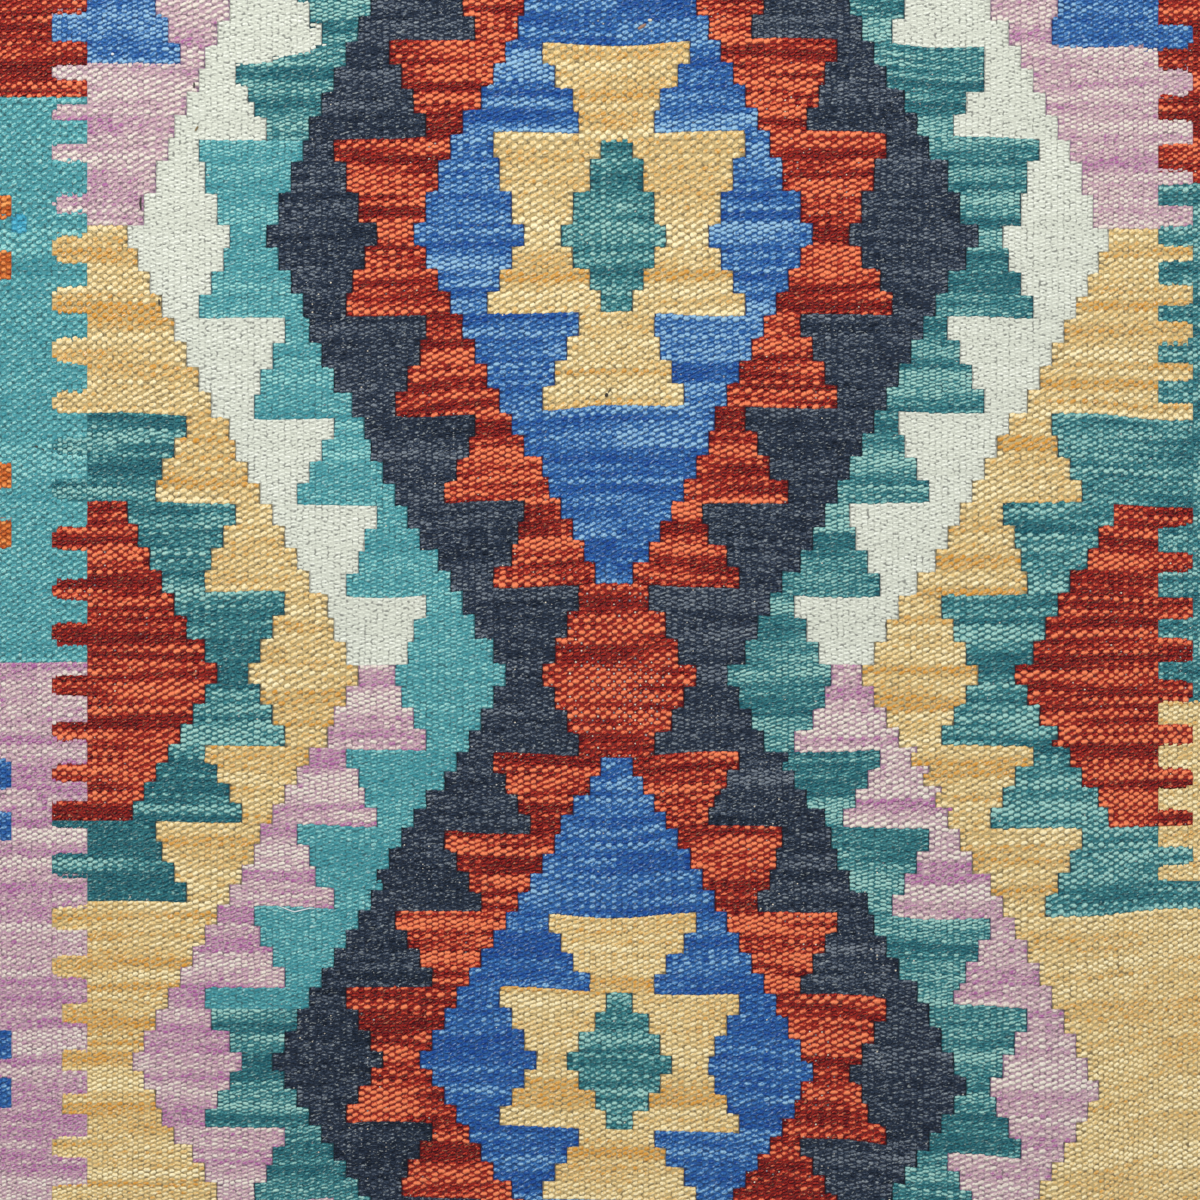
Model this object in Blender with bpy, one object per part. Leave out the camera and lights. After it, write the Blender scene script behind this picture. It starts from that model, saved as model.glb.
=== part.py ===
"""A cut length of a flat-woven kilim, lying flat on what it rests on.

The cloth is weft-faced tapestry, about 3 mm thick, and it lies nearly flat. Its weft lines crowd together and
ease apart a little as they pass the tips of the woven diamonds, so its face swells and dips by a fraction of
a millimetre and its four cut edges waver. Metres, +Z up, warps along Y, with the origin under the middle.
"""

import math

import bmesh
import bpy

# The size of the cut
WIDTH = 0.700  # across the warps, along X
LENGTH = 0.712  # along the warps, along Y
THICKNESS = 0.003

# How uneven it is
EDGE_WAVER = 0.0009  # how far a cut edge wanders in and out
EDGE_WAVES = 2.5  # wanders along one edge
EDGE_THIN = 0.0007  # how much thinner the cloth is at its cut edges than inside them
FACE_SWELL = 0.00025  # how far the upper face rises and falls

# The woven design that the swells follow
DIAMOND_WIDTH = 0.632  # from one column of diamonds to the next
DIAMOND_LENGTH = 0.472  # from one diamond's middle to the next

# How finely the solid is cut into faces
CELLS_X = 40
CELLS_Y = 40

WOOL_COLOUR = (0.42, 0.27, 0.17, 1.0)
WOOL_ROUGHNESS = 0.92


def clear_scene():
    for thing in list(bpy.data.objects):
        bpy.data.objects.remove(thing, do_unlink=True)


def wool_material():
    """Dyed wool, as one even colour."""
    material = bpy.data.materials.new("kilim_wool")
    material.use_nodes = True
    shader = material.node_tree.nodes["Principled BSDF"]
    shader.inputs["Base Color"].default_value = WOOL_COLOUR
    shader.inputs["Roughness"].default_value = WOOL_ROUGHNESS
    shader.inputs["Metallic"].default_value = 0.0
    return material


def waver(along, phase):
    """How far a cut edge stands out at a place along it, from -1 to 1 of its length."""
    turn = math.pi * EDGE_WAVES * along
    return EDGE_WAVER * 0.5 * (math.sin(turn + phase) + math.sin(2.3 * turn + 2.0 * phase))


def swell(x, y):
    """The rise of the upper face: broad waves that follow the rows of diamonds."""
    across = math.cos(2.0 * math.pi * x / DIAMOND_WIDTH)
    down = math.sin(2.0 * math.pi * y / DIAMOND_LENGTH + 1.5 * across)
    return FACE_SWELL * down


def place(column, row):
    """The X and Y of a point of the grid, from the left front corner, with the wavering edges drawn in."""
    u = 2.0 * column / CELLS_X - 1.0
    v = 2.0 * row / CELLS_Y - 1.0
    side_waver = waver(v, 0.7 + math.copysign(0.9, u)) * abs(u) ** 6
    end_waver = waver(u, 2.1 + math.copysign(1.3, v)) * abs(v) ** 6
    x = u * (WIDTH / 2.0 - EDGE_WAVER + side_waver)
    y = v * (LENGTH / 2.0 - EDGE_WAVER + end_waver)
    return x, y


def height(column, row, x, y):
    """The Z of the upper face, thinner along the cut edges."""
    at_edge = column in (0, CELLS_X) or row in (0, CELLS_Y)
    return THICKNESS - FACE_SWELL + swell(x, y) - (EDGE_THIN if at_edge else 0.0)


def rim():
    """The grid places round the edge of the cloth, anticlockwise from the left front corner."""
    front = [(i, 0) for i in range(CELLS_X)]
    right = [(CELLS_X, j) for j in range(CELLS_Y)]
    back = [(CELLS_X - i, CELLS_Y) for i in range(CELLS_X)]
    left = [(0, CELLS_Y - j) for j in range(CELLS_Y)]
    return front + right + back + left


def woven_panel():
    """The cloth: an uneven upper face, a flat underside and the cut edges between them."""
    shape = bmesh.new()
    upper = {}
    for column in range(CELLS_X + 1):
        for row in range(CELLS_Y + 1):
            x, y = place(column, row)
            upper[column, row] = shape.verts.new((x, y, height(column, row, x, y)))
    for column in range(CELLS_X):
        for row in range(CELLS_Y):
            shape.faces.new(
                (
                    upper[column, row],
                    upper[column + 1, row],
                    upper[column + 1, row + 1],
                    upper[column, row + 1],
                )
            )
    edge = rim()
    under = [shape.verts.new((upper[at].co.x, upper[at].co.y, 0.0)) for at in edge]
    shape.faces.new(reversed(under))
    for i, at in enumerate(edge):
        after = (i + 1) % len(edge)
        shape.faces.new((under[i], under[after], upper[edge[after]], upper[at]))

    mesh = bpy.data.meshes.new("woven_panel")
    shape.to_mesh(mesh)
    shape.free()
    mesh.materials.append(wool_material())
    panel = bpy.data.objects.new("woven_panel", mesh)
    bpy.context.scene.collection.objects.link(panel)
    return panel


clear_scene()
woven_panel()
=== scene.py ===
import bpy
import numpy as np
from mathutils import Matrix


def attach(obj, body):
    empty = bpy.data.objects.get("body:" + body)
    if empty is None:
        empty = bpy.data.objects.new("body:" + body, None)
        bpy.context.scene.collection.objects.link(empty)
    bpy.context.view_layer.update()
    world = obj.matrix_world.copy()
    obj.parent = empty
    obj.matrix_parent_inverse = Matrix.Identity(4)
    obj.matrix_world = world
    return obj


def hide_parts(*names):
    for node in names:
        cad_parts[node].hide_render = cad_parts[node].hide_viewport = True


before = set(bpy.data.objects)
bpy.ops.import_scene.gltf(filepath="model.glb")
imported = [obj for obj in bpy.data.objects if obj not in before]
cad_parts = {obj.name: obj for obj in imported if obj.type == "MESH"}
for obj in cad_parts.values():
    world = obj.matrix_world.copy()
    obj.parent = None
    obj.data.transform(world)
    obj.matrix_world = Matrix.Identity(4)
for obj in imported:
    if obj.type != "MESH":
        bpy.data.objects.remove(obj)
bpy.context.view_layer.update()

mm = 0.001

# The weave is laid out in mm on the cloth, x to the right and down toward the foot, from the photo's
# middle.
cloth = dict(
    width=700.0,           # the cut, across and along the warps
    length=712.0,
    axis=9.7,              # x of the line the motifs mirror about
    field=290,             # how far to each side the slits of the field run
    groundTop=2.2,         # heights above the floor
    groundBottom=0.8,
    ridge=2.9,             # about the top of a weft float, on the face and on the back
    backRidge=0.08,
    waver=0.7,             # how far the pick lines wander
    cutEdge="#8A8576",     # the colour of the cut sides
    seed=7,
)

photoRow = 0.57            # mm on the cloth from one pixel row of the photo to the next
photoMiddle = 600
photoHalf = photoMiddle * photoRow
halfMotif = 19             # rows from a star's middle to where two motifs meet
patternRows = (-10, 49)    # the first row on the cut and the one after the last, from the upper star's middle

# Distance between neighbouring warps (mm) against x. They crowd in the borders and in the middle.
warpPitch = [(-360, 2.88), (-268, 2.88), (-257, 3.5), (-23, 3.5), (0, 3.02), (20, 3.02), (46, 3.5),
             (268, 3.49), (291, 2.82), (360, 2.82)]

# How far down the pattern's rows run: the rows noted, then x of each line along the warps and where it
# meets them.
rowsNoted = (-11, -7, -3, -2, 0, 4, 8, 12, 16, 19, 23, 27, 31, 35, 38, 42, 50)
rowLines = {
    -275: (-375, -318.5, -264.5, -251, -214, -161, -107, -56, -4, 35.5, 81,
        125.5, 171.5, 221, 258, 300, 383),
    -190: (-375, -315, -262, -250, -214, -161, -103, -54.5, -5, 36, 83.5,
        127, 174.5, 220.5, 258, 301, 384),
    -120: (-375, -319.5, -263, -250, -215.5, -162, -104, -53.5, -1.5, 37, 85.5,
        129.5, 177, 221, 257, 297.5, 382),
    -55: (-375, -319, -267, -252, -214, -163.5, -106, -56.5, -7, 36.5, 87,
        133.5, 178, 220, 257, 299.5, 383),
    10: (-375, -316, -266, -252, -214, -164.5, -111, -60, -9.5, 36.5, 90,
        134, 181.5, 224, 258.5, 302, 383),
    60: (-375, -319.5, -267.5, -252, -214, -161.5, -111, -55, -7.5, 37, 86.5,
        128.5, 178, 225, 260, 303.5, 387),
    130: (-375, -320.5, -267.5, -252, -215.5, -163, -109, -54.5, -1.5, 37, 87,
        129.5, 178.5, 225, 264, 307.5, 391),
    200: (-375, -315, -264, -251, -214, -162, -106.5, -55.5, -2.5, 37, 82.5,
        130.5, 182, 230.5, 271, 315, 400),
    273: (-375, -317, -262, -250, -212, -160, -106.5, -56, -4, 36, 84,
        130, 181, 234, 275, 321, 410),
    330: (-375, -318, -264, -251, -212, -159, -102.5, -53, -1, 35.5, 83,
        128.5, 176, 226, 263, 308, 397),
}

# How far the weaver's edges stray outward from the even drawing, in mm against the row, on the left and
# the right.
strays = {
    "white": ([(-10, 3), (-8, 4.5), (-6, 2.5), (-4, 0), (-1.5, -1.7), (0, 0), (3, 1.5), (6, 1), (8, -1),
        (12, 1.7), (16, -1.7), (22, -1.5), (25, 0), (34, 0), (38, 1.7), (41.5, 3.4), (45, 0.5)],
        [(-9, -4), (-7, -1.5), (-3, -1.7), (-1.5, -3), (0, -1.7), (2, 1), (5, 2.8), (7, 0.6), (11, -1),
        (13, 0.5), (14, -1), (16, -5), (28, -4.3), (30, -0.8), (33, -1.7), (36, -0.6), (42, 0), (45, 4)]),
    "hooks": ([(-9, 5), (-8, 5), (-7, -4), (-4, -4.5), (-3, 2.8), (-2, 2.5), (0, 0), (4, -0.6), (5, -2.6),
        (7, -1), (11, 0), (12, 2.2), (14, 0), (18, 0.5), (20, 1.7), (22, 0), (24, 1.6), (29, 1.6), (30, 0),
        (36, 1), (38, -1.7), (41, 0), (45, -0.8)],
        [(-9, -4), (-8, -6), (-7, 0), (-6, 3.4), (-4, -1.7), (-3, 1.7), (-1, 0.6), (0, -4), (3, 1.7),
        (4, -2.3), (7, 0.6), (9, -3.2), (11, 0.6), (14, -1.1), (17, 1.7), (20, 5), (22, 0.6), (26, -0.6),
        (28, 1.5), (30, -1.7), (31, 7), (34, 7.5), (35, 3.4), (37, 1), (39, -4), (41, -1.7), (42, 3),
        (44, 5)]),
    "charcoal": ([(-9, 4), (-7, 4.6), (-4, 3), (-2, -1), (0, 0), (5, 2.2), (8, 1.8), (10, 4), (13, 4.6),
        (15, 1.7), (18, 0), (20, -1), (23, -1), (26, 1), (28, 0), (35, -1.7), (38, -1.1), (39, 0),
        (41, -1.5), (45, 0)],
        [(-9, 0.5), (-6, -2), (-4, 1), (0, 4.6), (1, 1), (3, -0.6), (8, 0), (10, 2.3), (13, 4), (16, 1.3),
        (18, 1.7), (21, -1.5), (22, -0.6), (23, 3), (24, 0), (26, 3), (27, 0), (28, -2.9), (30, -1.3),
        (33, -2.9), (34, -1.1), (37, -1.5), (38, 0), (42, 0.8), (45, 0)]),
    "redHooks": ([(-9, -3.4), (-8, -4), (-7, 0), (-6, -0.6), (-4, -3), (-3, 0), (-1, -2.6), (0, 0),
        (4, -0.6), (5, -2.2), (7, 1), (10, -0.6), (12, 0.8), (14, -1), (16, 1.7), (25, 1.1), (26, -1.5),
        (27, 1.7), (30, -2.2), (31, 0), (34, -2.3), (35, 0.5), (37, -2.9), (40, -1.7), (41, -0.6),
        (42, -2.9), (44, -0.6)],
        [(-9, -0.6), (-8, -2.3), (-7, 0.5), (-4, -2.2), (-3, -0.6), (0, -4), (2, -1.1), (3, 0.5), (7, 0),
        (9, -2.9), (10, -2.9), (11, 0), (12, 2.3), (13, 0), (15, 0), (16, 2), (18, 4.5), (22, 5.5), (23, 0),
        (24, 3.4), (26, 5), (27, -2), (28, 0), (29, 5), (30, 5), (31, 1), (33, 3.5), (34, 4), (35, 1.2),
        (37, 2.2), (40, 0), (41, 0.6), (43, 4), (44, 2.3)]),
    "blue": ([(-9, -0.6), (-6, -3.4), (-4, -1.2), (0, 0), (8, 0), (10, -1.7), (12, 0), (13, 2.2), (15, 1.7),
        (23, 0), (26, -0.3), (28, -2.3), (34, -3.4), (35.5, -4.5), (37, -1.8), (39, -2.2), (43, -3.2),
        (45, -4.6)],
        [(-9, -2.3), (-6, -1.5), (-2, -1), (-1, 0), (0, -2.3), (5, -2.8), (7, -2.8), (9, 0.6), (12, 1.1),
        (13, 4.5), (14, 2.3), (15, 0), (23, 1.5), (28, 0.4), (36, 1.7), (39, 1.8), (45, 4.6)]),
    "star": ([(-7, 2.5), (-5, 2.7), (-3, 0.5), (3, 0.3), (4, -1), (7, 0), (32, 0.5), (33, 2.5), (34, 2.7),
        (36, 0.8), (38, 0), (45, -1.5)],
        [(-7, -0.5), (-5, 1), (-3, -2), (3, -2), (5, 1.5), (7, 1.5), (31, -1.7), (33, 1), (36, 0),
        (45, 0.5)]),
    "tealOuter": ([(8, 0), (13, 0.5), (15, -1.7), (20, 1), (23, 0), (26, -1.7), (27, 1.1)],
        [(8, 0.3), (13, 1.7), (15, -1), (16, -5), (19, -1.8), (22, -5), (23, 0.5), (26, -2.9), (27, 4.5),
        (30, 3)]),
    "redHalf": ([(12, 1), (18, 0.3), (26, -1)],
        [(12, 2.9), (14, 2.6), (18, 0), (19.5, -1.1), (23, 0), (25, 4), (26, 3)]),
}

# Border teeth: where the field runs out into the side strips (down, from and to).
teethLeft = [(-305, -296), (-282, -273), (-260, -250), (-231, -222), (-208, -193), (-178, -164), (-149, -135),
             (-119, -107), (-92, -83), (-69, -57), (-41, -28), (-12, -1), (13, 25), (43, 55), (69, 80),
             (94, 104), (114, 130), (144, 158), (174, 188), (203, 215), (306, 318), (333, 345)]
teethLeftShort = [(230, 241), (256, 268), (281, 293)]
teethLeftRed = [(-375, -335), (-318, -306), (-296, -287)]
teethRight = [(-328, -315), (-302, -288), (-274, -260), (-246, -236), (-225, -213), (-202, -192),
              (-180, -168), (-159, -147), (-135, -124), (-113, -42), (-27, -16), (-2, 11), (22, 35),
              (46, 58), (71, 82), (96, 107), (120, 129), (141, 151), (160, 400)]
edgeOrange = [(-231, -217), (-199, -183), (-78, -63), (-45, -29)]
edgeBlue = [(91, 108), (120, 137), (245, 262), (273, 290)]


# A yarn: its colours from dark to light; the colour down between the floats, the warps and hidden weft there
# darkened as painted shade; and the odd fibres' colour. Then crevice shade, how far that painted shade creeps
# up the floats' sides into the creases; crest highlight, how much lighter the crests are painted, a painted
# highlight, with a little painted shade low on the sides; heather, how strongly the fibres are mixed;
# flecked, the odd fibres' share; proud, how high the floats stand; lean, in radians; and the finish, where it
# isn't the usual one.
def yarnOf(dark, mid, light, pit, fleck, creviceShade, crestHighlight, heather, flecked, proud, lean, **finish):
    usual = dict(rough=0.88, sheen=0.04, gloss=0.06)
    return dict(usual, dark=dark, mid=mid, light=light, pit=pit, fleck=fleck, creviceShade=creviceShade, crestHighlight=crestHighlight,
                heather=heather, flecked=flecked, proud=proud, lean=lean) | finish


yarns = {
    "white": yarnOf("#ADB0A3", "#C2C5B7", "#DADCD2", "#A4A59A", "#F0F1EA", creviceShade=0.06, crestHighlight=0.02,
                    heather=0.42, flecked=0.3, proud=0.27, lean=0.2, rough=0.9, sheen=0.08, gloss=0.08),
    "yellow": yarnOf("#BC8230", "#CAAE74", "#DED0A6", "#786C50", "#EDE5CA", creviceShade=0.14, crestHighlight=0.02,
                     heather=0.6, flecked=0.4, proud=0.42, lean=0.42, sheen=0.08, gloss=0.08),
    "red": yarnOf("#44050E", "#A12A20", "#D8744D", "#3A080F", "#E0A478", creviceShade=0.4, crestHighlight=0.24,
                  heather=0.68, flecked=0.3, proud=0.7, lean=0.28, rough=0.85),
    "charcoal": yarnOf("#111823", "#283344", "#6A727B", "#12161E", "#949B9C", creviceShade=0.3, crestHighlight=0.05,
                       heather=0.75, flecked=0.6, proud=0.55, lean=0.05, rough=0.9, sheen=0.02, gloss=0.05),
    "turquoise": yarnOf("#2F7680", "#50969A", "#8ABEB8", "#2A5962", "#BED6CE", creviceShade=0.22, crestHighlight=0.06,
                        heather=0.95, flecked=0.4, proud=0.42, lean=0.25),
    "teal": yarnOf("#144854", "#397B80", "#8CB6AD", "#1D3C44", "#B4CCBE", creviceShade=0.35, crestHighlight=0.12,
                   heather=0.75, flecked=0.35, proud=0.6, lean=0.24),
    "blue": yarnOf("#163B7E", "#30659E", "#82A8C2", "#1A3060", "#ACC4D0", creviceShade=0.35, crestHighlight=0.12,
                   heather=0.75, flecked=0.35, proud=0.6, lean=0.3, rough=0.86, sheen=0.03),
    "pink": yarnOf("#965488", "#B59A9B", "#CDC5B8", "#8E7086", "#E6DED6", creviceShade=0.14, crestHighlight=0.06,
                   heather=0.75, flecked=0.35, proud=0.44, lean=0.36, sheen=0.06, gloss=0.08),
    "orange": yarnOf("#8E3414", "#BC622A", "#D88E50", "#5A2412", "#E6B27C", creviceShade=0.35, crestHighlight=0.12,
                     heather=0.6, flecked=0.2, proud=0.65, lean=0.35),
    "cyan": yarnOf("#2A7A92", "#3890AA", "#58A8BC", "#2A6E84", "#A8D8DC", creviceShade=0.22, crestHighlight=0.06,
                   heather=0.6, flecked=0.2, proud=0.42, lean=0.25),
}


# An area of the pattern: its yarn; pick, mm between picks at the photo's head and foot, on the left and
# the right if they differ; tone, its place between the yarn's dark and light; band, streak and grain, how
# far that wanders over several picks, along a single pick and from float to float; bare, how often a warp
# shows through.
def zoneOf(yarn, pick, tone, band, streak, grain, bare=0.0):
    return dict(yarn=yarn, pick=(pick * 4)[:4], tone=tone, band=band, streak=streak, grain=grain, bare=bare)


zones = {
    "white": zoneOf("white", (1.2, 1.15, 1.15, 1.15), 0.5, 0.1, 0.05, 0.08),
    "pinkDiagonal": zoneOf("pink", (1.2, 1.2, 1.5, 1.5), 0.55, 0.12, 0.2, 0.17),
    "turquoise": zoneOf("turquoise", (1.14,), 0.45, 0.08, 0.1, 0.17, 0.05),
    "tealDiagonal": zoneOf("teal", (1.08, 1.08, 1.05, 1.05), 0.49, 0.12, 0.26, 0.1, 0.06),
    "charcoal": zoneOf("charcoal", (1.14,), 0.43, 0.08, 0.14, 0.16, 0.22),
    "redHooks": zoneOf("red", (1.65,), 0.53, 0.13, 0.54, 0.12, 0.2),
    "redNode": zoneOf("red", (1.97,), 0.5, 0.1, 0.42, 0.14, 0.8),
    "blue": zoneOf("blue", (1.5, 1.6), 0.44, 0.1, 0.25, 0.12, 0.08),
    "starYellow": zoneOf("yellow", (2.2, 1.4), 0.57, 0.11, 0.15, 0.1),
    "starTeal": zoneOf("teal", (1.8, 1.4), 0.47, 0.1, 0.24, 0.12, 0.08),
    "yellow": zoneOf("yellow", (2.5, 1.2, 2.0, 1.5), 0.57, 0.14, 0.18, 0.1),
    "pinkHead": zoneOf("pink", (1.77, 1.77, 1.37, 1.37), 0.57, 0.05, 0.17, 0.17),
    "tealOuter": zoneOf("teal", (1.55, 1.4, 1.7, 1.6), 0.46, 0.12, 0.28, 0.12, 0.08),
    "redHalf": zoneOf("red", (1.85,), 0.48, 0.12, 0.5, 0.12, 0.25),
    "blueHead": zoneOf("blue", (1.45,), 0.55, 0.16, 0.16, 0.2),
    "stripTurquoise": zoneOf("turquoise", (2.45, 1.1, 2.4, 1.1), 0.43, 0.05, 0.07, 0.12),
    "stripPink": zoneOf("pink", (2.5, 1.1), 0.51, 0.1, 0.19, 0.17),
    "stripRed": zoneOf("red", (1.7,), 0.34, 0.34, 0.4, 0.14, 0.1),
    "stripTeal": zoneOf("teal", (1.5,), 0.5, 0.2, 0.25, 0.25, 0.1),
    "stripYellow": zoneOf("yellow", (1.5,), 0.62, 0.12, 0.1, 0.2),
    "stripOrange": zoneOf("orange", (1.7,), 0.5, 0.1, 0.15, 0.2),
    "stripCyan": zoneOf("cyan", (1.9,), 0.5, 0.1, 0.1, 0.15),
    "stripBlue": zoneOf("blue", (1.6,), 0.25, 0.1, 0.15, 0.2),
}
zoneNumber = {name: i for i, name in enumerate(zones)}

# A dark mauve spot near the left edge, and a bright blue-green patch by the left strip.
spot = dict(x=-318.06, down=113.43, wide=3.4, tall=2.3, darker=0.6)
patch = dict(x=-330.5, down=-214, wide=4.5, tall=6)

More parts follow.
